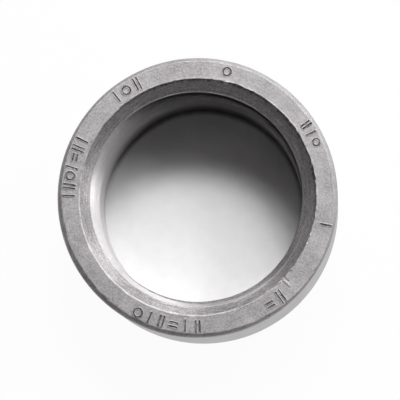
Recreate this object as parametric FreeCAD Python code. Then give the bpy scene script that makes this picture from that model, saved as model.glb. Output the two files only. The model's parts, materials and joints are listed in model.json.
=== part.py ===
import FreeCAD, Part
import math
import os

from FreeCAD import Vector

# Threaded half coupling for nominal 2 inch steel pipe, forged and turned in one piece.
# It stands on its plain weld end, with the threaded mouth up. Lengths are in millimetres,
# angles in degrees, and a depth is measured down from the face of the mouth.

# Turned body
length = 43.0
bore_diameter = 56.5
wall = 9.85
rim_chamfer = 1.0
weld_end_chamfer = 0.4
weld_end_bore_chamfer = 0.3

# Taper pipe thread, 11.5 threads to the inch, 60 degree flanks, tapered 1 in 16 on diameter.
# The tap runs into a straight bore, so the crests stay at the bore and the thread
# grows shallower with depth. Its lead leaves a run-out below the last whole thread.
thread_pitch = 25.4 / 11.5
thread_height_in_pitches = 0.8
thread_flank_angle = 30.0
thread_taper_on_diameter = 1 / 16
whole_thread_depth = 19.2
run_out_turns = 3
thread_start_angle = 345.0

# Countersink at the mouth: how far it stands outside the thread's largest radius, and its slope
countersink_margin = 2.15
countersink_angle = 45.0

# The cutter reaches this far inside the bore, and its turns are joined with this tolerance
cutter_core = 1.0
cutter_overshoot = 0.02
join_tolerance = 0.001

# Radii and depths that follow from these
bore_radius = bore_diameter / 2
outer_radius = bore_radius + wall
thread_height = thread_height_in_pitches * thread_pitch
thread_mouth_radius = bore_radius + thread_height
thread_taper = thread_taper_on_diameter / 2
mouth_radius = thread_mouth_radius + countersink_margin
countersink_slope = math.tan(math.radians(countersink_angle))
countersink_depth = (mouth_radius - bore_radius) / countersink_slope
face_width = outer_radius - mouth_radius
rim_break = min(rim_chamfer, 0.4 * face_width)
thread_end_depth = whole_thread_depth + run_out_turns * thread_pitch

# The first groove comes out through the cone of the countersink where its root meets it
thread_start_depth = countersink_margin / (countersink_slope - thread_taper)


def turned_blank():
    """The body before it is tapped: bore, countersunk mouth and broken edges, as one turned section."""
    section = [
        (bore_radius + weld_end_bore_chamfer, 0),
        (outer_radius - weld_end_chamfer, 0),
        (outer_radius, weld_end_chamfer),
        (outer_radius, length - rim_break),
        (outer_radius - rim_break, length),
        (mouth_radius, length),
        (bore_radius, length - countersink_depth),
        (bore_radius, weld_end_bore_chamfer),
    ]
    corners = [Vector(radius, 0, height) for radius, height in section]
    face = Part.Face(Part.makePolygon(corners + corners[:1]))
    return face.revolve(Vector(0, 0, 0), Vector(0, 0, 1), 360)


def root_radius(depth):
    """Radius of the thread's root: tapered down to the last whole thread, then run out to the bore."""
    if depth <= whole_thread_depth:
        return thread_mouth_radius - thread_taper * depth
    last_whole = root_radius(whole_thread_depth)
    share = (depth - whole_thread_depth) / (thread_end_depth - whole_thread_depth)
    return last_whole + share * (bore_radius - cutter_overshoot - last_whole)


def root_angle(depth):
    """Angle of the thread's root seen from the mouth: a right-hand thread turns clockwise as it goes down."""
    return thread_start_angle - 360 * (depth - thread_start_depth) / thread_pitch


def groove_turn(deep, shallow):
    """Cutter for the stretch of V groove between two depths, at most one turn apart."""
    deep_root = root_radius(deep)
    slope = math.atan2(root_radius(shallow) - deep_root, deep - shallow)
    along_cone = 1 / math.cos(slope)
    helix = Part.makeHelix(
        thread_pitch * along_cone,
        (deep - shallow) * along_cone,
        deep_root,
        math.degrees(slope),
    )
    crest = deep_root - thread_height
    half_opening = thread_height * math.tan(math.radians(thread_flank_angle))
    corners = [
        Vector(deep_root, 0, 0),
        Vector(crest, 0, half_opening),
        Vector(crest - cutter_core, 0, half_opening),
        Vector(crest - cutter_core, 0, -half_opening),
        Vector(crest, 0, -half_opening),
    ]
    sweep = Part.BRepOffsetAPI.MakePipeShell(Part.Wire(helix.Edges))
    sweep.setBiNormalMode(Vector(0, 0, 1))
    sweep.add(Part.makePolygon(corners + corners[:1]))
    sweep.build()
    sweep.makeSolid()
    turn = sweep.shape()
    turn.rotate(Vector(0, 0, 0), Vector(0, 0, 1), root_angle(deep))
    turn.translate(Vector(0, 0, length - deep))
    return turn


def tap():
    """The whole groove as one cutter, from the end of the run-out up to just above the countersink's cone."""
    depths = [thread_end_depth - turn * thread_pitch for turn in range(run_out_turns)]
    depth = whole_thread_depth
    while depth > thread_start_depth:
        depths.append(depth)
        depth -= thread_pitch
    depths.append(depth)
    turns = [groove_turn(deep, shallow) for deep, shallow in zip(depths, depths[1:])]
    return turns[0].multiFuse(turns[1:], join_tolerance)


def half_coupling():
    tapped = turned_blank().cut(tap())
    return tapped.Solids[0]


coupling = half_coupling()
os.makedirs("parts", exist_ok=True)
coupling.exportStep("parts/coupling_body.step")
print(f"coupling_body: {coupling.Volume:.1f} mm3, {len(coupling.Faces)} faces, valid {coupling.isValid()}")
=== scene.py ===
import json
import math

import bmesh
import bpy
from mathutils import Matrix, Vector, noise


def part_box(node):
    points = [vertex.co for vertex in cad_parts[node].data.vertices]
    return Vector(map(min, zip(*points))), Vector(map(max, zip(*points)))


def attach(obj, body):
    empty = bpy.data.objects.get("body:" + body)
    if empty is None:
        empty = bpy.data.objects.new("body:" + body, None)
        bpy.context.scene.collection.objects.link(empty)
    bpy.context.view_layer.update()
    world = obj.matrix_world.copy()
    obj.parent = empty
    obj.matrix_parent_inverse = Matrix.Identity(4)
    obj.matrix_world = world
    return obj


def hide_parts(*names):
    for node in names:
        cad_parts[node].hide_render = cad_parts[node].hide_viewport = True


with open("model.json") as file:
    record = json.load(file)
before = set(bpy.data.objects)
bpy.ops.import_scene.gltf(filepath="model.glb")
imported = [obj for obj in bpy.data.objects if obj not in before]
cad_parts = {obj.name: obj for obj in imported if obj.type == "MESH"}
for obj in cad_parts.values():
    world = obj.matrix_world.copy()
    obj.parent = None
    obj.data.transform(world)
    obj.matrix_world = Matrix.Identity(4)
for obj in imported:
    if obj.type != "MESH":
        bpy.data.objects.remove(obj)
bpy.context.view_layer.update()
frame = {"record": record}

# A threaded half coupling stands on its weld end, seen from above through its countersunk mouth.
# The body and its thread follow the frame; this script adds the finish of each surface, the stamped
# marks, the burred mouth edge and the nick. Lengths are in metres and angles in degrees, a depth is
# measured down from the face of the mouth, and a reach is how far something goes to either side.
# Some colours below are painted light and shade: shade at the bore's foot, on one side of the tapped
# wall, under the mouth's edge and on the paper, and highlights along the edges.
MM = 0.001

body_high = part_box("coupling_body")[1]
mounts = {mount["name"]: mount for mount in frame["record"]["mounts"]}

# Turned body, as the frame has it
LENGTH = body_high.z
OUTER_RADIUS = body_high.x
BORE_RADIUS = mounts["thread"]["dims"]["r_mm"] * MM
RIM_CHAMFER = 1.0 * MM
WELD_END_CHAMFER = 0.4 * MM
WELD_END_BORE_CHAMFER = 0.3 * MM

# Taper pipe thread and the countersink in front of it
THREAD_PITCH = 25.4 / 11.5 * MM
THREAD_HEIGHT = 0.8 * THREAD_PITCH
THREAD_FLANK = math.radians(30)
THREAD_TAPER = 1 / 32
WHOLE_THREAD_DEPTH = 19.2 * MM
RUN_OUT_TURNS = 3
THREAD_START_ANGLE = 345
COUNTERSINK_MARGIN = 2.15 * MM
CUTTER_CORE = 1.0 * MM
CUTTER_OVERSHOOT = 0.02 * MM
CUTTER_TURNS_ABOVE_START = 0.8
THREAD_MOUTH_RADIUS = BORE_RADIUS + THREAD_HEIGHT
THREAD_START_DEPTH = COUNTERSINK_MARGIN / (1 - THREAD_TAPER)
THREAD_END_DEPTH = WHOLE_THREAD_DEPTH + RUN_OUT_TURNS * THREAD_PITCH
MOUTH_RADIUS = THREAD_MOUTH_RADIUS + COUNTERSINK_MARGIN
COUNTERSINK_DEPTH = MOUTH_RADIUS - BORE_RADIUS
FACE_OUTER_RADIUS = OUTER_RADIUS - RIM_CHAMFER

# How finely the rings of the mesh are divided, along the section and round the ring. A point within
# ON_SURFACE of a surface counts as lying on it.
STEPS_ROUND = 720
CUTTER_STEPS_PER_TURN = 160
TOOL_LINE_SPACING = 0.55 * MM
FACE_ROW = 0.4 * MM
EDGE_ROW = 0.14 * MM
EDGE_BAND = 0.75 * MM
WALL_ROW = 5.0 * MM
WELD_END_ROW = 2.5 * MM
ON_SURFACE = 0.01 * MM

# Up to this height the weld end has the finish of a turned face
WELD_END_TURNED = 0.25 * MM

# Small roundings of the corners
MOUTH_ROUNDING = 0.14 * MM
FACE_EDGE_ROUNDING = 0.08 * MM
RIM_STEP_WIDTH = 0.12 * MM
RIM_STEP_DROP = 0.28 * MM
RIM_STEP_ROUNDING = 0.08 * MM
WALL_EDGE_ROUNDING = 0.60 * MM
WELD_END_ROUNDING = 0.12 * MM
THROAT_ROUNDING = 0.08 * MM
ROUNDING_ROW = 0.15 * MM
SHARP_ANGLE = math.radians(28)

# Stamped marks: plain tally strokes and rings, struck by hand. Each group has its first angle, the
# angle between strikes, the middle radius, the height of a strike and the kinds of strike.
MARK_GROUPS = [
    (24.3, 4.6, 35.3 * MM, 2.6 * MM, ["ring", "bar", "pair"]),
    (76.6, 0.0, 35.1 * MM, 3.0 * MM, ["ring"]),
    (118.0, 5.4, 35.0 * MM, 3.1 * MM, ["pair", "ring", "bar"]),
    (153.5, 4.3, 35.0 * MM, 3.0 * MM, ["bar", "pair", "dashes", "bar", "ring", "pair", "bar"]),
    (242.8, 5.5, 35.3 * MM, 3.3 * MM, ["ring", "bar", "pair", "dashes", "bar", "pair"]),
    (303.8, 5.8, 35.2 * MM, 3.3 * MM, ["dashes", "pair"]),
    (347.4, 0.0, 35.4 * MM, 2.6 * MM, ["bar"]),
]
MARK_REACH = 5
MARK_MARGIN = 0.8 * MM
MARK_CUTS = 2

# How far a strike may slip and lean, and its parts as shares of its height
MARK_SLIP_ANGLE = 0.3
MARK_SLIP_RADIUS = 0.12 * MM
MARK_LEAN = 6.0
RING_RADIUS = 0.36
PAIR_HALF_GAP = 0.16
DASH_HALF_LENGTH = 0.3
DASH_HALF_GAP = 0.175

# Section of a stroke: its groove and lips are placed in half widths from its middle line
STROKE_HALF_WIDTH = 0.18 * MM
STROKE_DEPTH = 0.30 * MM
STROKE_LIP = 0.08 * MM
GROOVE_FLOOR = 0.2
GROOVE_EDGE = 1.15
LIP_MIDDLE = 1.65
LIP_REACH = 0.85
STROKE_DIRT_CORE = 0.35
STROKE_PATCHES = 1.1 * MM

# The face with its rounded edges goes down to FACE_DEPTH. What stands on it fades out over
# MOUTH_FADE inside the mouth's edge.
FACE_DEPTH = 0.2 * MM
MOUTH_FADE = 0.3 * MM

# Edge of the mouth. A swell has its middle angle, its reach and its size.
MOUTH_WAVER = 0.10 * MM
MOUTH_WAVER_REACH = 0.9 * MM
MOUTH_SWELLS = [(30.0, 60.0, 0.26 * MM), (75.0, 42.0, 0.14 * MM), (165.0, 42.0, -0.15 * MM)]
MOUTH_SWELL_REACH = 2.4 * MM
MOUTH_BURR = 0.11 * MM
MOUTH_BURR_WIDTH = 0.40 * MM
MOUTH_BURR_SHIFT = 0.08 * MM
SMOOTH_MOUTH_ANGLE = 225.0
SMOOTH_MOUTH_REACH = 95
SMOOTH_MOUTH_SHARE = 0.75
BURR_SPOTS = (292.0, 322.5, 336.6, 341.3)
BURR_SPOT_HALF_WIDTH = 0.40 * MM
BURR_SPOT_SHIFT = 0.1 * MM
BURR_SPOT_SIZE = 1.2

# Outer rim
RIM_WAVER = 0.16 * MM
RIM_WAVER_WIDTH = 1.0 * MM
RIM_WAVER_DEPTH = 0.5 * MM
RIM_SWELLS = [(135.0, 40.0, 0.15 * MM), (208.0, 62.0, -0.38 * MM), (325.0, 42.0, 0.48 * MM)]
RIM_SWING_LIMIT = 0.60 * MM

# Waves of the face and the forged wall, and lines of the turning tool on the countersink
FACE_WAVES = 0.035 * MM
FACE_WAVE_GRAINS = (7.0 * MM, 1.6 * MM)
FACE_WAVES_DEPTH = 1.0 * MM
SKIN_WAVES = 0.05 * MM
SKIN_WAVE_GRAIN = 9.0 * MM
SKIN_WAVES_EDGE = 0.2 * MM
SKIN_WAVES_FOOT = (0.5 * MM, 3.0 * MM)
TOOL_LINE_DEPTH = 0.022 * MM
TOOL_LINES_START = 0.3 * MM
TOOL_LINES_FULL = 0.9 * MM

# Burr along the edge where the thread's first groove breaks out of the countersink
CREST_BURR = 0.16 * MM
CREST_BURR_WIDTH = 0.40 * MM
CREST_BURR_ANGLE = 90.0
CREST_BURR_REACH = 75
CREST_BURR_LEAST = 0.35

# Painted shade just inside the mouth's edge, on one side
UNDER_MOUTH_SHADE_BAND = 0.65 * MM
UNDER_MOUTH_SHADE_ANGLE = 60.0
UNDER_MOUTH_SHADE_REACH = 115

# Nick beside the mouth: a gouge outwards from the mouth's edge and a ridge beside it. The lengths
# are where each starts to fade and where it ends, outwards from the mouth.
NICK_ANGLE = 317.0
NICK_DEPTH = 0.24 * MM
NICK_HALF_WIDTH = 0.28 * MM
NICK_LENGTHS = (1.0 * MM, 1.9 * MM)
NICK_RIDGE_ANGLE = 315.9
NICK_RIDGE_HEIGHT = 0.07 * MM
NICK_RIDGE_HALF_WIDTH = 0.50 * MM
NICK_RIDGE_LENGTHS = (2.2 * MM, 3.4 * MM)
NICK_FINE_ANGLE = 316.4
NICK_FINE_REACH = 2.2
NICK_FINE_LENGTH = 4.0 * MM

# Worn metal and painted highlights: width of the painted bright line along an edge, and single wear
# marks
MOUTH_HIGHLIGHT_WIDTH = 0.40 * MM
# Painted highlight: the mouth's edge line is brightest on the side that faces the lamps
LIT_MOUTH_HIGHLIGHT_ANGLE = 240.0
LIT_MOUTH_HIGHLIGHT_REACH = 110
LIT_MOUTH_HIGHLIGHT = 0.46
# Painted highlight along the chamfer's inner edge
RIM_HIGHLIGHT_WIDTH = 0.22 * MM
RIM_HIGHLIGHT_DEPTH = 0.4 * MM
RIM_HIGHLIGHT = 0.18
# Painted light: the chamfer is lighter on this side
LIT_RIM_ANGLE = 40.0
LIT_RIM_REACH = 110
LIT_RIM_PAINTED_LIGHT = 0.28
# Painted highlight on the edge where the thread's first groove breaks out of the cone
CREST_HIGHLIGHT = 0.90
CREST_LINE_HIGHLIGHT_ANGLE = 290.0
CREST_LINE_HIGHLIGHT_REACH = 60
CREST_LINE_HIGHLIGHT = 0.45
SCUFFED_ANGLE = 79.0
SCUFFED_REACH = 7.0
SCUFFED_WIDTH = 1.2 * MM
SCRATCH_START = (126.6, 29.2 * MM)
SCRATCH_END = (123.8, 30.1 * MM)
SCRATCH_HALF_WIDTH = 0.28 * MM
SCRATCHED = 0.6

# The skin of the wall is smoother below these depths
SMOOTH_WALL_START = 1.0 * MM
SMOOTH_WALL_FULL = 5.0 * MM

# Painted shade at the foot of the bore: a dark colour that thins out from the low height up to the
# high one. It reaches higher on the side at the given angle, where the wall lies in shade, by the
# given rise for each millimetre towards it.
BORE_SHADE_LOW = -35.0 * MM
BORE_SHADE_HIGH = 15.0 * MM
BORE_SHADE_ANGLE = 80.0
BORE_SHADE_RISE = 0.9

# Painted shade darkens the tapped wall on the side at the given angle, from the axis out to where it
# is full
WALL_SHADE_ANGLE = 48.0
WALL_SHADE_FULL = 17.0 * MM
WALL_SHADE_SHARE = 0.37

# Painted shadow on the paper along the bore's foot, on the side where the painted shade in the bore
# reaches highest
FOOT_SHADOW_WIDTH = 1.6 * MM
FOOT_SHADOW_SIDE_LOW = -4.0 * MM
FOOT_SHADOW_SIDE_HIGH = 16.0 * MM
FOOT_SHADOW_SHARE = 0.8

# Outside the fitting the camera sees the paper nearly burnt out, from under the wall outwards
PAPER_SIZE = 1.5
PAPER_GLOW = 0.96
UNDER_WALL = 2.0 * MM

# Camera: nearly above the fitting, leaning a little towards the lower right of the picture.
# The picture is 400 by 400 pixels, and the face's centre shows at FACE_CENTRE_PIXEL.
PICTURE_SIZE = 400
SENSOR_WIDTH_MM = 36.0
CAMERA_DISTANCE = 0.850
CAMERA_TILT = 5.6
CAMERA_AZIMUTH = -62.0
CAMERA_CLIP = (0.05, 10.0)
PIXELS_PER_METRE = 3690.0
FACE_CENTRE_PIXEL = (197.1, 196.85)

# Lamps, round discs aimed at the mouth: name, azimuth, elevation, diameter and power in watts. The
# powers began as another program's least-squares fit to the brightness in the photograph, and some
# were then changed.
LAMP_DISTANCE = 1.0
LAMPS = [
    ("key_1", 73.0, 62.0, 0.16, 2.40),
    ("key_2", 71.0, 62.5, 0.34, 2.35),
    ("key_3", 92.0, 62.0, 0.16, 1.49),
    ("key_4", 95.0, 58.0, 0.36, 1.34),
    ("key_5", 60.0, 57.0, 0.16, 0.68),
    ("key_6", 30.0, 50.0, 0.20, 1.50),
    ("side_1", 5.0, 38.0, 0.20, 0.52),
    ("side_2", -30.0, 28.0, 0.42, 0.26),
    ("side_3", 65.0, 28.0, 0.42, 0.33),
    ("low_1", 0.0, 12.0, 0.42, 0.95),
    ("low_2", 40.0, 12.0, 0.42, 1.60),
    ("low_3", 80.0, 12.0, 0.42, 1.32),
    ("low_4", 120.0, 12.0, 0.42, 0.70),
    ("low_5", 160.0, 12.0, 0.42, 0.16),
]
WORLD_STRENGTH = 0.004

# The camera sees a white backdrop beyond the paper. In the metal it shows only low round the table,
# where it fades out between two elevations, given as their sines.
BACKDROP_STRENGTH = 0.97
BACKDROP_LOW = 0.0
BACKDROP_HIGH = 0.05


def polar(point):
    """Radius, angle in degrees and height of a point about the bore's axis."""
    return math.hypot(point.x, point.y), math.degrees(math.atan2(point.y, point.x)), point.z


def from_polar(radius, angle, height):
    turn = math.radians(angle)
    return Vector((radius * math.cos(turn), radius * math.sin(turn), height))


def turn_from(middle, angle):
    """How far an angle lies from a middle one, from -180 to 180."""
    return (angle - middle + 180) % 360 - 180


def smooth_step(edge_0, edge_1, value):
    share = min(max((value - edge_0) / (edge_1 - edge_0), 0.0), 1.0)
    return share * share * (3 - 2 * share)


def bump_shape(distance, half_width):
    """1 at no distance, falling smoothly to 0 at half_width."""
    return 1 - smooth_step(0.0, half_width, abs(distance))


def round_noise(angle, swings, level):
    """Smooth noise round the ring, about -1 to 1. A turn has about 6 times the given swings."""
    turn = math.radians(angle)
    return 1.6 * noise.noise(Vector((math.cos(turn) * swings, math.sin(turn) * swings, level)))


def spot_noise(point, grain, level):
    """Smooth noise over a surface, about -1 to 1, with swings about a grain apart."""
    return 1.6 * noise.noise(point / grain + Vector((level, level, level)))


# Camera

def across_and_up(backwards):
    """The camera's right and up, where the picture's up is near +Y, for the direction behind it."""
    right = Vector((0, 1, 0)).cross(backwards).normalized()
    return right, backwards.cross(right)


def make_camera():
    tilt = math.radians(CAMERA_TILT)
    backwards = from_polar(math.sin(tilt), CAMERA_AZIMUTH, math.cos(tilt))
    face_centre = Vector((0, 0, LENGTH))
    place = face_centre + backwards * CAMERA_DISTANCE
    right, up = across_and_up(backwards)
    off_right = (PICTURE_SIZE / 2 - FACE_CENTRE_PIXEL[0]) / PIXELS_PER_METRE
    off_down = (PICTURE_SIZE / 2 - FACE_CENTRE_PIXEL[1]) / PIXELS_PER_METRE
    aim = face_centre + right * off_right - up * off_down
    backwards = (place - aim).normalized()
    right, up = across_and_up(backwards)
    turn = Matrix((right, up, backwards)).transposed().to_4x4()
    data = bpy.data.cameras.new("camera")
    data.sensor_width = SENSOR_WIDTH_MM
    data.lens = SENSOR_WIDTH_MM * PIXELS_PER_METRE * CAMERA_DISTANCE / PICTURE_SIZE
    data.clip_start, data.clip_end = CAMERA_CLIP
    camera = bpy.data.objects.new("camera", data)
    camera.matrix_world = Matrix.Translation(place) @ turn
    bpy.context.scene.collection.objects.link(camera)
    bpy.context.scene.camera = camera


# Shader expressions

class Link:
    """A node's socket, usable in Python expressions: each operator adds a Math node."""

    def __init__(self, finish, socket):
        self.finish = finish
        self.socket = socket

    def calculate(self, operation, *values):
        return self.finish.node("ShaderNodeMath", {"operation": operation}, dict(enumerate(values)))

    def __add__(self, other):
        return self.calculate("ADD", self, other)

    def __radd__(self, other):
        return self.calculate("ADD", other, self)

    def __sub__(self, other):
        return self.calculate("SUBTRACT", self, other)

    def __rsub__(self, other):
        return self.calculate("SUBTRACT", other, self)

    def __mul__(self, other):
        return self.calculate("MULTIPLY", self, other)

    def __rmul__(self, other):
        return self.calculate("MULTIPLY", other, self)

    def __truediv__(self, other):
        return self.calculate("DIVIDE", self, other)

    def at_least(self, other):
        return self.calculate("MAXIMUM", self, other)

    def root(self):
        return self.calculate("SQRT", self)

    def swing(self, size):
        """Noise from 0 to 1 as a swing about nothing."""
        return (self - 0.5) * size


class Finish:
    """The nodes of a material, or of the world, and the coordinates that its patterns follow."""

    def __init__(self, holder, coordinates="Object"):
        self.holder = holder
        holder.use_nodes = True
        self.tree = holder.node_tree
        self.tree.nodes.clear()
        self.place = self.node("ShaderNodeTexCoord", output=coordinates)

    def add(self, kind, settings=None, sockets=None):
        """A new node: its settings first, then the values or links of its sockets."""
        made = self.tree.nodes.new(kind)
        for name, value in (settings or {}).items():
            setattr(made, name, value)
        for name, value in (sockets or {}).items():
            if isinstance(value, Link):
                self.tree.links.new(value.socket, made.inputs[name])
            else:
                made.inputs[name].default_value = value
        return made

    def node(self, kind, settings=None, sockets=None, output=0):
        """One output of a new node."""
        return Link(self, self.add(kind, settings, sockets).outputs[output])

    def outputs(self, kind, names, sockets=None):
        """Several outputs of a new node."""
        made = self.add(kind, sockets=sockets)
        return [Link(self, made.outputs[name]) for name in names]

    def axes(self):
        """The x, y and z of the coordinates."""
        return self.outputs("ShaderNodeSeparateXYZ", "XYZ", {0: self.place})

    def radius_and_height(self):
        """Distance from the bore's axis and height, in millimetres, at the shaded point."""
        x, y, z = self.axes()
        return (x * x + y * y).root() / MM, z / MM

    def towards(self, angle):
        """How far the shaded point lies from the axis in the direction of an angle, in mm."""
        turn = math.radians(angle)
        direction = (math.cos(turn) / MM, math.sin(turn) / MM, 0)
        return self.node(
            "ShaderNodeVectorMath",
            {"operation": "DOT_PRODUCT"},
            {0: self.place, 1: direction},
            output="Value",
        )

    def noise_at(self, place, scale, detail, roughness=0.5):
        """Noise from 0 to 1 at any coordinates."""
        return self.node(
            "ShaderNodeTexNoise",
            {"noise_dimensions": "3D"},
            {"Vector": place, "Scale": scale, "Detail": detail, "Roughness": roughness},
            output="Fac",
        )

    def noise(self, grain, detail=2.0, roughness=0.5):
        """Noise from 0 to 1 with swings about a grain apart."""
        return self.noise_at(self.place, 1 / grain, detail, roughness)

    def rings(self, radius, height, across, level):
        """Noise that runs round the axis, as a turning tool leaves it. Its width is in mm."""
        place = self.node(
            "ShaderNodeCombineXYZ",
            sockets={"X": radius / across, "Y": height / across, "Z": level},
        )
        return self.noise_at(place, 1.0, 1.0)

    def streaks(self, radius, height, across, along):
        """Noise drawn out round the axis, as a tool tears metal: its width and length are in mm."""
        place = self.node(
            "ShaderNodeCombineXYZ",
            sockets={
                "X": self.towards(0) / along,
                "Y": self.towards(90) / along,
                "Z": (radius + height) / across,
            },
        )
        return self.noise_at(place, 1.0, 2.0)

    def seen(self):
        """What the camera sees straight, and what it sees mirrored or through glass, each 1 or 0."""
        camera, glossy, transmission = self.outputs(
            "ShaderNodeLightPath",
            ("Is Camera Ray", "Is Glossy Ray", "Is Transmission Ray"),
        )
        return camera, glossy.at_least(transmission)

    def attribute(self, name):
        return self.node("ShaderNodeAttribute", {"attribute_name": name}, output="Fac")

    def smooth_range(self, value, low, high):
        """0 below low, 1 above high and smooth between."""
        return self.node(
            "ShaderNodeMapRange",
            {"interpolation_type": "SMOOTHSTEP"},
            {"Value": value, "From Min": low, "From Max": high},
        )

    def tint(self, factor, colour_0, colour_1):
        """A colour between two, by a factor. Sockets 6, 7 and 2 are a Mix node's own for colours."""
        return self.node(
            "ShaderNodeMix",
            {"data_type": "RGBA"},
            {0: factor, 6: colour_0, 7: colour_1},
            output=2,
        )

    def worn_and_highlighted(self, colour, metallic):
        """The colour and metallic value once worn places and painted highlights are brighter and
        scatter light.
        """
        burnish_and_highlight = self.attribute("burnish_and_highlight")
        brighter = self.tint(burnish_and_highlight * WORN_AND_HIGHLIGHT_SHARE, colour, WORN_AND_HIGHLIGHT)
        return brighter, metallic - burnish_and_highlight * WORN_AND_HIGHLIGHT_SCATTER * metallic

    def finish_metal(self, colour, roughness, relief, relief_height, metallic, specular=0.5):
        """The metal's shader, with the relief in its normal. Returns the finished material."""
        normal = self.node(
            "ShaderNodeBump",
            sockets={"Height": relief, "Distance": relief_height, "Strength": 1.0},
        )
        shader = self.node(
            "ShaderNodeBsdfPrincipled",
            sockets={
                "Base Color": colour,
                "Roughness": roughness,
                "Metallic": metallic,
                "Specular IOR Level": specular,
                "Normal": normal,
            },
        )
        self.add("ShaderNodeOutputMaterial", sockets={"Surface": shader})
        return self.holder


def grey(level, blush=0.0):
    """A grey as a colour with alpha, a little pinker for more blush."""
    return (level * (1 + blush), level, level * (1 + 0.4 * blush), 1)


# Materials: where a finish varies, its darkest and palest colour, and then what lies on it, and the
# painted shade and highlight colours

DARK_SKIN = grey(0.186, 0.04)
PALE_SKIN = grey(0.525, 0.04)
SCALE_IN_MARKS = grey(0.035, 0.06)
DARK_TURNED = grey(0.25, 0.04)
PALE_TURNED = grey(0.91, 0.04)
CHIPPED = grey(0.95)
# Painted shade under the mouth's edge
UNDER_MOUTH_SHADE_COLOUR = grey(0.04, 0.05)
DARK_CUT = grey(0.62, 0.03)
PALE_CUT = grey(0.88, 0.03)
# Painted shade on one side of the tapped wall
WALL_SIDE_SHADE = grey(0.02)
# Painted shade at the foot of the bore
BORE_FOOT_SHADE = grey(0.015, 0.05)
# Painted highlight colour, also of worn metal
WORN_AND_HIGHLIGHT = grey(0.82, 0.02)
DARK_PAPER = grey(0.78)
PALE_PAPER = grey(0.88)
# Painted shadow on the paper
FOOT_SHADOW = grey(0.10)
WHITE = grey(1.0)

# How much of the finish under it each of these hides where it is thickest
SCALE_IN_MARKS_SHARE = 0.8
UNDER_MOUTH_SHADE_SHARE = 0.75
CHIPPED_SHARE = 0.6
WORN_AND_HIGHLIGHT_SHARE = 0.9

# How much of the mirror light of the metal a worn place or painted highlight scatters
WORN_AND_HIGHLIGHT_SCATTER = 0.8


def forged_skin():
    """Shot-blasted forged steel: fine dimples, cloudy patches and a few bright or dark specks."""
    finish = Finish(bpy.data.materials.new("shot_blasted_forged_steel"))
    radius, height = finish.radius_and_height()
    patches = finish.noise(5.0 * MM, detail=2.0)
    mottle = finish.noise(1.3 * MM, detail=3.0, roughness=0.6)
    speckle = finish.noise(0.55 * MM, detail=3.0, roughness=0.7)
    dimples = finish.noise(0.40 * MM, detail=2.0)
    lines = finish.rings(radius, height, across=0.30, level=5.0)
    tone = patches.swing(0.5) + mottle.swing(0.3) + speckle.swing(1.7) + lines.swing(0.25) + 0.5
    metal = finish.tint(tone, DARK_SKIN, PALE_SKIN)
    marked = finish.tint(finish.attribute("scale_and_mouth_shade") * SCALE_IN_MARKS_SHARE, metal, SCALE_IN_MARKS)
    on_wall = finish.smooth_range(
        height,
        (LENGTH - SMOOTH_WALL_START) / MM,
        (LENGTH - SMOOTH_WALL_FULL) / MM,
    )
    roughness = speckle.swing(0.35) + 0.60 - on_wall * 0.22
    # Painted highlights along the face's edges, with worn places
    colour, metallic = finish.worn_and_highlighted(marked, metallic=0.85)
    relief = dimples + speckle + lines * 0.5
    return finish.finish_metal(colour, roughness, relief, 0.026 * MM, metallic)


def turned_steel():
    """Countersink cut by a turning tool: rings of slightly different grey, small torn spots, painted
    shade under the mouth's edge and painted highlights along its edges.
    """
    finish = Finish(bpy.data.materials.new("turned_steel"))
    radius, height = finish.radius_and_height()
    lines = finish.rings(radius, height, across=0.20, level=3.0)
    torn = finish.noise(0.50 * MM, detail=3.0, roughness=0.7)
    streaks = finish.streaks(radius, height, across=0.22, along=2.4)
    chips = finish.smooth_range(finish.noise(0.45 * MM, detail=1.0), low=0.63, high=0.73)
    tone = lines.swing(0.9) + streaks.swing(1.4) + torn.swing(1.4) + 0.5
    metal = finish.tint(tone, DARK_TURNED, PALE_TURNED)
    chipped = finish.tint(chips * CHIPPED_SHARE, metal, CHIPPED)
    # Painted shade under the mouth's edge, on one side
    under_mouth_shaded = finish.tint(finish.attribute("scale_and_mouth_shade") * UNDER_MOUTH_SHADE_SHARE, chipped, UNDER_MOUTH_SHADE_COLOUR)
    roughness = torn.swing(0.25) + 0.42
    # Painted highlights along the mouth's edge and the thread's crest
    colour, metallic = finish.worn_and_highlighted(under_mouth_shaded, metallic=1.0)
    relief = lines + streaks * 1.5 + torn * 0.6
    return finish.finish_metal(colour, roughness, relief, 0.014 * MM, metallic)


def cut_steel():
    """Fresh metal of the tapped wall, brighter than the skin, with painted shade on one side and
    dark painted shade at the bore's foot.
    """
    finish = Finish(bpy.data.materials.new("freshly_cut_steel"))
    radius, height = finish.radius_and_height()
    lines = finish.rings(radius, height, across=0.10, level=7.0)
    stains = finish.noise(1.2 * MM, detail=3.0)
    tone = lines.swing(0.9) + stains.swing(0.9) + 0.5
    metal = finish.tint(tone, DARK_CUT, PALE_CUT)
    # Painted shade on one side of the tapped wall
    wall_shade_side = finish.smooth_range(finish.towards(WALL_SHADE_ANGLE), 0.0, WALL_SHADE_FULL / MM)
    wall_shaded = finish.tint(wall_shade_side * WALL_SHADE_SHARE, metal, WALL_SIDE_SHADE)
    # Painted shade at the bore's foot, higher on the shaded side; the metal there is also dull and
    # rough
    reach = height - finish.towards(BORE_SHADE_ANGLE) * BORE_SHADE_RISE
    above_bore_shade = finish.smooth_range(reach, BORE_SHADE_LOW / MM, BORE_SHADE_HIGH / MM)
    fresh = above_bore_shade * above_bore_shade
    colour = finish.tint(fresh, BORE_FOOT_SHADE, wall_shaded)
    roughness = stains.swing(0.06) + 0.84 - fresh * 0.5
    relief = lines + stains
    return finish.finish_metal(colour, roughness, relief, 0.008 * MM, fresh, specular=0.05)


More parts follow.
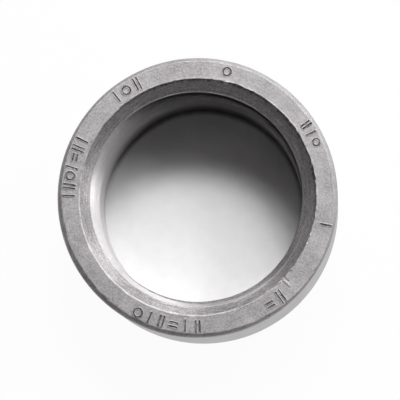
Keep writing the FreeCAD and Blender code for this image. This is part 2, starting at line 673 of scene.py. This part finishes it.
def floor_paper():
    """White paper with a painted shadow along the bore's foot. Outside it glows, and keeps a faint
    shadow.
    """
    finish = Finish(bpy.data.materials.new("white_paper"))
    radius = finish.radius_and_height()[0]
    outside = finish.smooth_range(
        radius,
        (BORE_RADIUS + UNDER_WALL) / MM,
        (OUTER_RADIUS - UNDER_WALL) / MM,
    )
    fibres = finish.noise(4.0 * MM, detail=4.0, roughness=0.6)
    clean = finish.tint(fibres, DARK_PAPER, PALE_PAPER)
    # Painted shadow along the bore's foot, on one side
    foot_shadow_side = finish.smooth_range(
        finish.towards(BORE_SHADE_ANGLE),
        FOOT_SHADOW_SIDE_LOW / MM,
        FOOT_SHADOW_SIDE_HIGH / MM,
    )
    near_foot = finish.smooth_range(radius, (BORE_RADIUS - FOOT_SHADOW_WIDTH) / MM, BORE_RADIUS / MM)
    foot_shadow = near_foot * foot_shadow_side * (1 - outside)
    foot_shadowed = finish.tint(foot_shadow * FOOT_SHADOW_SHARE, clean, FOOT_SHADOW)
    paper = finish.node("ShaderNodeBsdfDiffuse", sockets={"Color": foot_shadowed})
    glow = finish.node("ShaderNodeEmission", sockets={"Color": WHITE, "Strength": 1.0})
    straight, mirrored = finish.seen()
    glowing = straight.at_least(mirrored) * outside * PAPER_GLOW
    surface = finish.node("ShaderNodeMixShader", sockets={0: glowing, 1: paper, 2: glow})
    finish.add("ShaderNodeOutputMaterial", sockets={"Surface": surface})
    return finish.holder


# Body

def row_length(middle):
    """How far apart the mesh's rings lie at a place on the section."""
    radius, height = middle.x, middle.z
    on_face = height > LENGTH - ON_SURFACE
    on_cone = height > LENGTH - COUNTERSINK_DEPTH and radius < MOUTH_RADIUS
    if on_face:
        near_mouth = radius < MOUTH_RADIUS + EDGE_BAND
        near_rim = radius > FACE_OUTER_RADIUS - EDGE_BAND
        return EDGE_ROW if near_mouth or near_rim else FACE_ROW
    if on_cone:
        return TOOL_LINE_SPACING / 2
    if height > LENGTH - RIM_CHAMFER:
        return FACE_ROW
    if radius > OUTER_RADIUS - ON_SURFACE:
        return WALL_ROW
    if height < ON_SURFACE:
        return WELD_END_ROW
    return LENGTH


def closed_wire(mesh, corners):
    """A closed wire in the plane at angle 0, from the radius and height of each corner."""
    verts = [mesh.verts.new((radius, 0, height)) for radius, height in corners]
    for start, end in zip(verts, verts[1:] + verts[:1]):
        mesh.edges.new((start, end))
    return verts


def turned_section(mesh):
    """The wire of the section, drawn at angle 0, with its corners rounded and its edges divided."""
    corners = [
        (BORE_RADIUS + WELD_END_BORE_CHAMFER, 0, WELD_END_ROUNDING),
        (OUTER_RADIUS - WELD_END_CHAMFER, 0, WELD_END_ROUNDING),
        (OUTER_RADIUS, WELD_END_CHAMFER, WELD_END_ROUNDING),
        (OUTER_RADIUS, LENGTH - RIM_CHAMFER, WALL_EDGE_ROUNDING),
        (FACE_OUTER_RADIUS + RIM_STEP_WIDTH, LENGTH - RIM_STEP_DROP, RIM_STEP_ROUNDING),
        (FACE_OUTER_RADIUS, LENGTH, FACE_EDGE_ROUNDING),
        (FACE_OUTER_RADIUS - EDGE_BAND, LENGTH, 0),
        (MOUTH_RADIUS + EDGE_BAND, LENGTH, 0),
        (MOUTH_RADIUS, LENGTH, MOUTH_ROUNDING),
        (BORE_RADIUS, LENGTH - COUNTERSINK_DEPTH, THROAT_ROUNDING),
        (BORE_RADIUS, WELD_END_BORE_CHAMFER, 0),
    ]
    verts = closed_wire(mesh, [corner[:2] for corner in corners])
    for vert, (radius, height, rounding) in zip(verts, corners):
        if rounding:
            bmesh.ops.bevel(
                mesh,
                geom=[vert],
                offset=rounding,
                segments=2 + round(rounding / ROUNDING_ROW),
                profile=0.5,
                affect="VERTICES",
                material=-1,
            )
    for edge in list(mesh.edges):
        start, end = (vert.co for vert in edge.verts)
        rows = round((end - start).length / row_length((start + end) / 2))
        if rows > 1:
            bmesh.ops.subdivide_edges(mesh, edges=[edge], cuts=rows - 1)


SKIN, TURNED, CUT = range(3)


def surface_kind(face):
    """Which finish a face of the untapped body has."""
    radius, angle, height = polar(face.calc_center_median())
    in_countersink = height > LENGTH - COUNTERSINK_DEPTH - 2 * ON_SURFACE
    if in_countersink and radius < MOUTH_RADIUS - 3 * ON_SURFACE:
        return TURNED
    if height < WELD_END_TURNED:
        return TURNED
    if radius < BORE_RADIUS + 5 * ON_SURFACE:
        return CUT
    return SKIN


def turned_blank():
    mesh = bmesh.new()
    turned_section(mesh)
    bmesh.ops.spin(
        mesh,
        geom=mesh.verts[:] + mesh.edges[:],
        cent=(0, 0, 0),
        axis=(0, 0, 1),
        dvec=(0, 0, 0),
        angle=2 * math.pi,
        steps=STEPS_ROUND,
        use_merge=True,
    )
    bmesh.ops.recalc_face_normals(mesh, faces=mesh.faces[:])
    for face in mesh.faces:
        face.material_index = surface_kind(face)
    return mesh


def root_radius(depth):
    """Radius of the thread's root: tapered to the last whole thread, then run out to the bore."""
    if depth <= WHOLE_THREAD_DEPTH:
        return THREAD_MOUTH_RADIUS - THREAD_TAPER * depth
    last_whole = THREAD_MOUTH_RADIUS - THREAD_TAPER * WHOLE_THREAD_DEPTH
    share = (depth - WHOLE_THREAD_DEPTH) / (THREAD_END_DEPTH - WHOLE_THREAD_DEPTH)
    return last_whole + share * (BORE_RADIUS - CUTTER_OVERSHOOT - last_whole)


def thread_cutter():
    """One V-shaped groove wound up the bore: right-hand, so it turns clockwise as it goes down."""
    mesh = bmesh.new()
    turns = (THREAD_END_DEPTH - THREAD_START_DEPTH) / THREAD_PITCH + CUTTER_TURNS_ABOVE_START
    steps = round(turns * CUTTER_STEPS_PER_TURN)
    half_opening = THREAD_HEIGHT * math.tan(THREAD_FLANK)
    crest = THREAD_MOUTH_RADIUS - THREAD_HEIGHT
    root_height = LENGTH - THREAD_END_DEPTH
    corners = [
        (THREAD_MOUTH_RADIUS, root_height),
        (crest, root_height + half_opening),
        (crest - CUTTER_CORE, root_height + half_opening),
        (crest - CUTTER_CORE, root_height - half_opening),
        (crest, root_height - half_opening),
    ]
    closed_wire(mesh, corners)
    bmesh.ops.spin(
        mesh,
        geom=mesh.verts[:] + mesh.edges[:],
        cent=(0, 0, 0),
        axis=(0, 0, 1),
        dvec=(0, 0, turns * THREAD_PITCH / steps),
        angle=math.radians(360 * turns),
        steps=steps,
    )
    ends = [edge for edge in mesh.edges if edge.is_boundary]
    bmesh.ops.holes_fill(mesh, edges=ends, sides=len(corners))
    bmesh.ops.recalc_face_normals(mesh, faces=mesh.faces[:])
    first_angle = THREAD_START_ANGLE - 360 * (THREAD_END_DEPTH - THREAD_START_DEPTH) / THREAD_PITCH
    for vert in mesh.verts:
        radius, angle, height = polar(vert.co)
        taper = root_radius(LENGTH - height) - THREAD_MOUTH_RADIUS
        vert.co = from_polar(radius + taper, angle + first_angle, height)
    for face in mesh.faces:
        face.material_index = CUT
    return mesh


def new_object(mesh, name):
    data = bpy.data.meshes.new(name)
    mesh.to_mesh(data)
    mesh.free()
    piece = bpy.data.objects.new(name, data)
    bpy.context.scene.collection.objects.link(piece)
    return piece


def on_thread_crest(edge):
    """Whether the turned countersink meets the cut wall here."""
    return {face.material_index for face in edge.link_faces} == {TURNED, CUT}


def is_sharp(edge):
    """Creases and the border of the cut wall keep a sharp edge."""
    return edge.calc_face_angle(0) > SHARP_ANGLE or on_thread_crest(edge)


def tapped_body():
    """The turned blank less the thread's groove, as a bmesh."""
    blank = new_object(turned_blank(), "blank")
    cutter = new_object(thread_cutter(), "cutter")
    for index in range(3):
        blank.data.materials.append(None)
        cutter.data.materials.append(None)
    cut = blank.modifiers.new("tap", "BOOLEAN")
    cut.operation = "DIFFERENCE"
    cut.solver = "EXACT"
    cut.object = cutter
    bpy.context.view_layer.update()
    result = blank.evaluated_get(bpy.context.evaluated_depsgraph_get())
    mesh = bmesh.new()
    mesh.from_mesh(result.to_mesh())
    bpy.data.objects.remove(blank)
    bpy.data.objects.remove(cutter)
    return mesh


# Stamped marks and wear

def strike_strokes(kind, height):
    """The straight strokes of one strike, from its middle: along the ring and outwards."""
    half = height / 2
    if kind == "bar":
        return [((0, -half), (0, half))]
    if kind == "pair":
        gap = PAIR_HALF_GAP * height
        return [((side * gap, -half), (side * gap, half)) for side in (-1, 1)]
    if kind == "dashes":
        reach = DASH_HALF_LENGTH * height
        gap = DASH_HALF_GAP * height
        return [((-reach, side * gap), (reach, side * gap)) for side in (-1, 1)]
    return []


def all_marks():
    """Every strike as its angle, middle radius, lean, ring radius (or none) and strokes."""
    marks = []
    for first, spacing, radius, height, kinds in MARK_GROUPS:
        for index, kind in enumerate(kinds):
            angle = first + spacing * index
            slip = round_noise(angle * 7.0, 3.0, 5.0)
            marks.append((
                angle + MARK_SLIP_ANGLE * slip,
                radius + MARK_SLIP_RADIUS * round_noise(angle * 5.0, 3.0, 9.0),
                MARK_LEAN * slip,
                RING_RADIUS * height if kind == "ring" else None,
                strike_strokes(kind, height),
            ))
    return marks


MARKS = all_marks()


def marks_near(angle):
    return [mark for mark in MARKS if abs(turn_from(mark[0], angle)) < MARK_REACH]


def distance_to_stroke(point, start, end):
    span = (end[0] - start[0], end[1] - start[1])
    to_point = (point[0] - start[0], point[1] - start[1])
    share = (to_point[0] * span[0] + to_point[1] * span[1]) / (span[0] ** 2 + span[1] ** 2)
    share = min(max(share, 0.0), 1.0)
    return math.hypot(to_point[0] - share * span[0], to_point[1] - share * span[1])


def distance_to_mark(mark, radius, angle):
    """How far a point of the face lies from the middle line of a mark's strokes."""
    mark_angle, mark_radius, lean, ring, strokes = mark
    along = math.radians(turn_from(mark_angle, angle)) * mark_radius
    outwards = radius - mark_radius
    cosine = math.cos(math.radians(lean))
    sine = math.sin(math.radians(lean))
    point = (along * cosine + outwards * sine, outwards * cosine - along * sine)
    distances = [distance_to_stroke(point, start, end) for start, end in strokes]
    if ring:
        distances.append(abs(math.hypot(*point) - ring))
    return min(distances)


def mark_relief(mark, radius, angle):
    """Height of the face at a mark: a rounded groove between two lips."""
    share = distance_to_mark(mark, radius, angle) / STROKE_HALF_WIDTH
    patchy = spot_noise(from_polar(radius, angle, 0.0), STROKE_PATCHES, 4.4)
    strength = 1 + 0.35 * round_noise(mark[0] * 3.0, 4.0, 2.0) + 0.45 * patchy
    groove = 1 - smooth_step(GROOVE_FLOOR, GROOVE_EDGE, share)
    lip = bump_shape(share - LIP_MIDDLE, LIP_REACH)
    return STROKE_LIP * lip * strength - STROKE_DEPTH * groove * strength


def mark_dirt(point):
    """How much scale sits in the bottom of a mark at a point of the fresh face, 0 to 1."""
    radius, angle, height = polar(point)
    if height < LENGTH - ON_SURFACE or radius < MOUTH_RADIUS:
        return 0.0
    distances = [distance_to_mark(mark, radius, angle) for mark in marks_near(angle)]
    if not distances:
        return 0.0
    patchy = 0.72 + 0.5 * spot_noise(point, STROKE_PATCHES, 4.4)
    in_groove = 1 - smooth_step(STROKE_DIRT_CORE, GROOVE_EDGE, min(distances) / STROKE_HALF_WIDTH)
    return min(max(patchy, 0.0), 1.0) * in_groove


def under_mouth_shade(point):
    """Painted shade on the cone just inside the mouth's edge, ragged and on one side, 0 to 1."""
    radius, angle, height = polar(point)
    depth = LENGTH - height
    if radius > MOUTH_RADIUS - 2 * ON_SURFACE or depth > 2 * UNDER_MOUTH_SHADE_BAND:
        return 0.0
    band = UNDER_MOUTH_SHADE_BAND * (1 + 0.5 * round_noise(angle, 40.0, 41.0))
    side = min(1.6 * bump_shape(turn_from(UNDER_MOUTH_SHADE_ANGLE, angle), UNDER_MOUTH_SHADE_REACH), 1.0)
    ragged = 0.8 + 0.5 * round_noise(angle, 65.0, 43.0)
    amount = side * ragged * (1 - smooth_step(0.4 * band, band, depth))
    return min(max(amount, 0.0), 1.0)


def divide_face_for_marks(mesh):
    """Finer mesh on the face where the marks and the nick go."""
    reach = STROKE_HALF_WIDTH + MARK_MARGIN
    edges = set()
    for face in mesh.faces:
        radius, angle, height = polar(face.calc_center_median())
        if height < LENGTH - ON_SURFACE or radius < MOUTH_RADIUS:
            continue
        beside_nick = abs(turn_from(NICK_FINE_ANGLE, angle)) < NICK_FINE_REACH
        near_nick = beside_nick and radius < MOUTH_RADIUS + NICK_FINE_LENGTH
        distances = [distance_to_mark(mark, radius, angle) for mark in marks_near(angle)]
        if near_nick or any(distance < reach for distance in distances):
            edges.update(face.edges)
    bmesh.ops.subdivide_edges(mesh, edges=list(edges), cuts=MARK_CUTS, use_grid_fill=True)


def swell(angle, swells):
    """Broad swings of an edge: each has its middle angle, its reach and its size."""
    return sum(size * bump_shape(turn_from(middle, angle), reach) for middle, reach, size in swells)


def rim_width_swing(angle):
    """How far the chamfer's inner edge strays outwards."""
    ragged = (
        round_noise(angle, 7.0, 1.0)
        + 0.5 * round_noise(angle, 26.0, 4.0)
        + 0.45 * round_noise(angle, 70.0, 6.0)
    )
    swing = swell(angle, RIM_SWELLS) + RIM_WAVER * ragged
    return min(max(swing, -RIM_SWING_LIMIT), RIM_SWING_LIMIT)


def crest_radius(angle):
    """Radius at which the upper flank of the first groove breaks out of the countersink's cone."""
    depth = THREAD_START_DEPTH + THREAD_PITCH * ((THREAD_START_ANGLE - angle) % 360) / 360
    slope = math.tan(THREAD_FLANK)
    return (MOUTH_RADIUS - depth + root_radius(depth) * slope) / (1 + slope)


def near_crest(radius, angle):
    """1 on the edge where the first groove breaks out, 0 away from it."""
    return bump_shape(radius - crest_radius(angle), CREST_BURR_WIDTH)


def crest_burr(radius, angle):
    """How much metal the tap pushed up where its first groove breaks out, 0 to about 1."""
    uneven = 0.85 + 0.15 * round_noise(angle, 9.0, 45.0) + 0.2 * round_noise(angle, 40.0, 47.0)
    most = bump_shape(turn_from(CREST_BURR_ANGLE, angle), CREST_BURR_REACH)
    side = CREST_BURR_LEAST + (1 - CREST_BURR_LEAST) * most
    return side * max(uneven, 0.0) * near_crest(radius, angle)


def fading_ridge(radius, angle, middle, half_width, lengths):
    """1 along a line outwards from the mouth at an angle, 0 beside it and beyond its lengths."""
    along = math.radians(angle % 360 - middle) * radius
    beyond = smooth_step(MOUTH_RADIUS + lengths[0], MOUTH_RADIUS + lengths[1], radius)
    return bump_shape(along, half_width) * (1 - beyond)


def nick_relief(radius, angle):
    """A short gouge from the mouth outwards with the metal pushed up beside it."""
    broken = 1 + 0.6 * spot_noise(from_polar(radius, angle, 0.0), 0.6 * MM, 2.2)
    gouge = fading_ridge(radius, angle, NICK_ANGLE, NICK_HALF_WIDTH, NICK_LENGTHS)
    ridge = fading_ridge(radius, angle, NICK_RIDGE_ANGLE, NICK_RIDGE_HALF_WIDTH, NICK_RIDGE_LENGTHS)
    return (NICK_RIDGE_HEIGHT * ridge - NICK_DEPTH * gouge) * broken


def mouth_tear(angle):
    """How torn the mouth's edge is: clean at the lower left, ragged elsewhere, 0.25 to 1."""
    smooth = bump_shape(turn_from(SMOOTH_MOUTH_ANGLE, angle), SMOOTH_MOUTH_REACH)
    return 1 - SMOOTH_MOUTH_SHARE * smooth


def burr_spot(radius, angle):
    """1 in the middle of a blob of pushed-up metal on the mouth's edge, 0 away from it."""
    outwards = radius - MOUTH_RADIUS - BURR_SPOT_SHIFT
    nearest = min(
        math.hypot(math.radians(turn_from(spot, angle)) * radius, outwards)
        for spot in BURR_SPOTS
    )
    return bump_shape(nearest, BURR_SPOT_HALF_WIDTH)


def mouth_burr(radius, angle):
    """Metal turned up along the mouth's edge, in blobs and thin stretches."""
    width = MOUTH_BURR_WIDTH * (1 + 0.4 * round_noise(angle, 20.0, 8.0))
    here = bump_shape(radius - MOUTH_RADIUS - MOUTH_BURR_SHIFT, width)
    amount = 0.35 + 0.7 * round_noise(angle, 14.0, 11.0) + 0.6 * round_noise(angle, 45.0, 13.0)
    stretches = here * max(amount, 0.0) * mouth_tear(angle)
    return MOUTH_BURR * (stretches + BURR_SPOT_SIZE * burr_spot(radius, angle))


def mouth_shine(point, to_mouth):
    """Painted highlight along the mouth's edge, strongest on its lit side, and bright spots in its
    scuff and on its burr.
    """
    radius, angle, height = polar(point)
    line = 1 - smooth_step(0.4 * MOUTH_HIGHLIGHT_WIDTH, MOUTH_HIGHLIGHT_WIDTH, to_mouth)
    highlight_side = bump_shape(turn_from(LIT_MOUTH_HIGHLIGHT_ANGLE, angle), LIT_MOUTH_HIGHLIGHT_REACH)
    broken = round_noise(angle, 16.0, 31.0) + round_noise(angle, 60.0, 33.0)
    scuffed = bump_shape(turn_from(SCUFFED_ANGLE, angle), SCUFFED_REACH)
    scuffed *= bump_shape(to_mouth, SCUFFED_WIDTH)
    spots = smooth_step(0.15, 0.5, spot_noise(point, 0.5 * MM, 6.1))
    on_face = LENGTH - height < FACE_DEPTH
    line *= LIT_MOUTH_HIGHLIGHT * highlight_side + 0.20 * broken
    return line + scuffed * spots + burr_spot(radius, angle) * on_face


def rim_shine(radius, angle, depth):
    """Painted highlight along the chamfer's inner edge, and painted light on the chamfer itself on
    one side.
    """
    amount = 0.0
    if depth < RIM_HIGHLIGHT_DEPTH:
        to_rim = abs(radius - FACE_OUTER_RADIUS)
        line = 1 - smooth_step(0.3 * RIM_HIGHLIGHT_WIDTH, RIM_HIGHLIGHT_WIDTH, to_rim)
        amount += line * (RIM_HIGHLIGHT + 0.20 * round_noise(angle, 24.0, 35.0))
    if radius > FACE_OUTER_RADIUS:
        on_chamfer = 1 - smooth_step(0.8 * RIM_CHAMFER, 1.2 * RIM_CHAMFER, depth)
        highlight_side = bump_shape(turn_from(LIT_RIM_ANGLE, angle), LIT_RIM_REACH)
        amount += LIT_RIM_PAINTED_LIGHT * on_chamfer * highlight_side
    return amount


def crest_shine(radius, angle):
    """Painted highlight on the burr and edge where the first groove breaks out of the cone."""
    highlight_side = bump_shape(turn_from(CREST_LINE_HIGHLIGHT_ANGLE, angle), CREST_LINE_HIGHLIGHT_REACH)
    line = CREST_LINE_HIGHLIGHT * highlight_side * near_crest(radius, angle)
    return CREST_HIGHLIGHT * crest_burr(radius, angle) + line


def scratch_shine(radius, angle):
    """A short bright scratch on the countersink."""
    point, start, end = (
        (math.radians(at_angle) * radius, at_radius)
        for at_angle, at_radius in ((angle, radius), SCRATCH_START, SCRATCH_END)
    )
    return SCRATCHED * bump_shape(distance_to_stroke(point, start, end), SCRATCH_HALF_WIDTH)


def burnish_and_highlight(point):
    """How bright wear and painted highlights leave a point of the fresh surface, 0 to 1."""
    radius, angle, height = polar(point)
    depth = LENGTH - height
    if depth > COUNTERSINK_DEPTH:
        return 0.0
    to_mouth = math.hypot(radius - MOUTH_RADIUS, depth)
    amount = mouth_shine(point, to_mouth) + rim_shine(radius, angle, depth)
    amount += crest_shine(radius, angle) + scratch_shine(radius, angle)
    return min(max(amount, 0.0), 1.0)


def edge_swing(radius, angle, depth):
    """How far the edges of the mouth and of the rim wander in the plane of the face."""
    to_mouth = math.hypot(radius - MOUTH_RADIUS, depth)
    ragged = 0.8 * round_noise(angle, 30.0, 23.0) + 0.8 * round_noise(angle, 75.0, 25.0)
    waver = MOUTH_WAVER * (round_noise(angle, 8.0, 21.0) + ragged * mouth_tear(angle))
    mouth_swing = swell(angle, MOUTH_SWELLS) * bump_shape(to_mouth, MOUTH_SWELL_REACH)
    mouth_swing += waver * bump_shape(to_mouth, MOUTH_WAVER_REACH)
    rim_share = bump_shape(radius - FACE_OUTER_RADIUS, RIM_WAVER_WIDTH)
    rim_share *= 1 - smooth_step(0.0, RIM_WAVER_DEPTH, depth)
    return mouth_swing + rim_share * rim_width_swing(angle)


def skin_sink(point):
    """How far the waves of the forged wall lie inside its full radius."""
    radius, angle, height = polar(point)
    on_wall = smooth_step(OUTER_RADIUS - SKIN_WAVES_EDGE, OUTER_RADIUS, radius)
    on_wall *= smooth_step(*SKIN_WAVES_FOOT, height)
    return on_wall * SKIN_WAVES * (0.5 + 0.5 * spot_noise(point, SKIN_WAVE_GRAIN, 1.3))


def face_lift(point):
    """Height of the waves, marks, nick and burr on the face."""
    radius, angle, height = polar(point)
    depth = LENGTH - height
    on_top = 1 - smooth_step(0.0, FACE_WAVES_DEPTH, depth)
    broad_grain, fine_grain = FACE_WAVE_GRAINS
    waves = spot_noise(point, broad_grain, 0.3) + 0.35 * spot_noise(point, fine_grain, 0.7)
    lift = on_top * FACE_WAVES * waves
    if depth < FACE_DEPTH and radius > MOUTH_RADIUS - MOUTH_FADE:
        fade_in = smooth_step(MOUTH_RADIUS - MOUTH_FADE, MOUTH_RADIUS, radius)
        lift += fade_in * (nick_relief(radius, angle) + mouth_burr(radius, angle))
        for mark in marks_near(angle):
            lift += mark_relief(mark, radius, angle)
    return lift


def tool_line_inset(angle, depth):
    """How far the tool's lines are cut into the countersink's cone, outwards as much as down."""
    slant = depth * math.sqrt(2)
    ridge = abs((slant / TOOL_LINE_SPACING) % 1.0 - 0.5) * 2
    uneven = 1 + 0.7 * round_noise(angle, 2.0, slant / TOOL_LINE_SPACING)
    started = smooth_step(TOOL_LINES_START, TOOL_LINES_FULL, depth)
    return TOOL_LINE_DEPTH * uneven * ridge * started / math.sqrt(2)


def worn_place(point):
    """Where a point of the fresh surface lies once its edges, waves, marks and lines are added."""
    radius, angle, height = polar(point)
    depth = LENGTH - height
    moved_radius = radius + edge_swing(radius, angle, depth) - skin_sink(point)
    lift = face_lift(point)
    from_cone = abs(MOUTH_RADIUS - radius - depth)
    if radius < MOUTH_RADIUS + MOUTH_FADE and from_cone < 5 * ON_SURFACE:
        inset = tool_line_inset(angle, depth)
        moved_radius += inset
        lift += CREST_BURR * crest_burr(radius, angle) - inset
    return from_polar(moved_radius, angle, height + lift)


make_camera()

body_mesh = tapped_body()
divide_face_for_marks(body_mesh)
scale_and_mouth_shade_layer = body_mesh.verts.layers.float.new("scale_and_mouth_shade")
burnish_and_highlight_layer = body_mesh.verts.layers.float.new("burnish_and_highlight")
for vert in body_mesh.verts:
    # Scale in the marks' grooves, and painted shade under the mouth's edge
    vert[scale_and_mouth_shade_layer] = mark_dirt(vert.co) + under_mouth_shade(vert.co)
    # Wear and painted highlights along the edges
    vert[burnish_and_highlight_layer] = burnish_and_highlight(vert.co)
    vert.co = worn_place(vert.co)
for face in body_mesh.faces:
    face.smooth = True
for edge in body_mesh.edges:
    edge.smooth = not is_sharp(edge)
body = new_object(body_mesh, "coupling_body_dressed")
for material in (forged_skin(), turned_steel(), cut_steel()):
    body.data.materials.append(material)
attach(body, "root")
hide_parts("coupling_body")


# Floor and light

def make_floor():
    mesh = bmesh.new()
    bmesh.ops.create_grid(mesh, x_segments=1, y_segments=1, size=PAPER_SIZE)
    floor = new_object(mesh, "floor")
    floor.data.materials.append(floor_paper())


def make_lamps():
    for name, azimuth, elevation, diameter, power in LAMPS:
        rise = math.radians(elevation)
        direction = from_polar(math.cos(rise), azimuth, math.sin(rise))
        data = bpy.data.lights.new(name, "AREA")
        data.shape = "DISK"
        data.size = diameter
        data.energy = power
        lamp = bpy.data.objects.new(name, data)
        lamp.location = Vector((0, 0, LENGTH)) + direction * LAMP_DISTANCE
        lamp.rotation_euler = direction.to_track_quat("Z", "Y").to_euler()
        bpy.context.scene.collection.objects.link(lamp)


def make_world():
    """A dark studio, with the backdrop for what the camera sees and what mirrors in the metal."""
    world = bpy.data.worlds.new("studio")
    studio = Finish(world, "Generated")
    rise = studio.axes()[2]
    low = 1 - studio.smooth_range(rise, BACKDROP_LOW, BACKDROP_HIGH)
    straight, mirrored = studio.seen()
    strength = straight.at_least(mirrored * low) * BACKDROP_STRENGTH + WORLD_STRENGTH
    background = studio.node("ShaderNodeBackground", sockets={"Color": WHITE, "Strength": strength})
    studio.add("ShaderNodeOutputWorld", sockets={"Surface": background})
    bpy.context.scene.world = world


make_floor()
make_lamps()
make_world()
bpy.context.scene.view_settings.view_transform = "Standard"
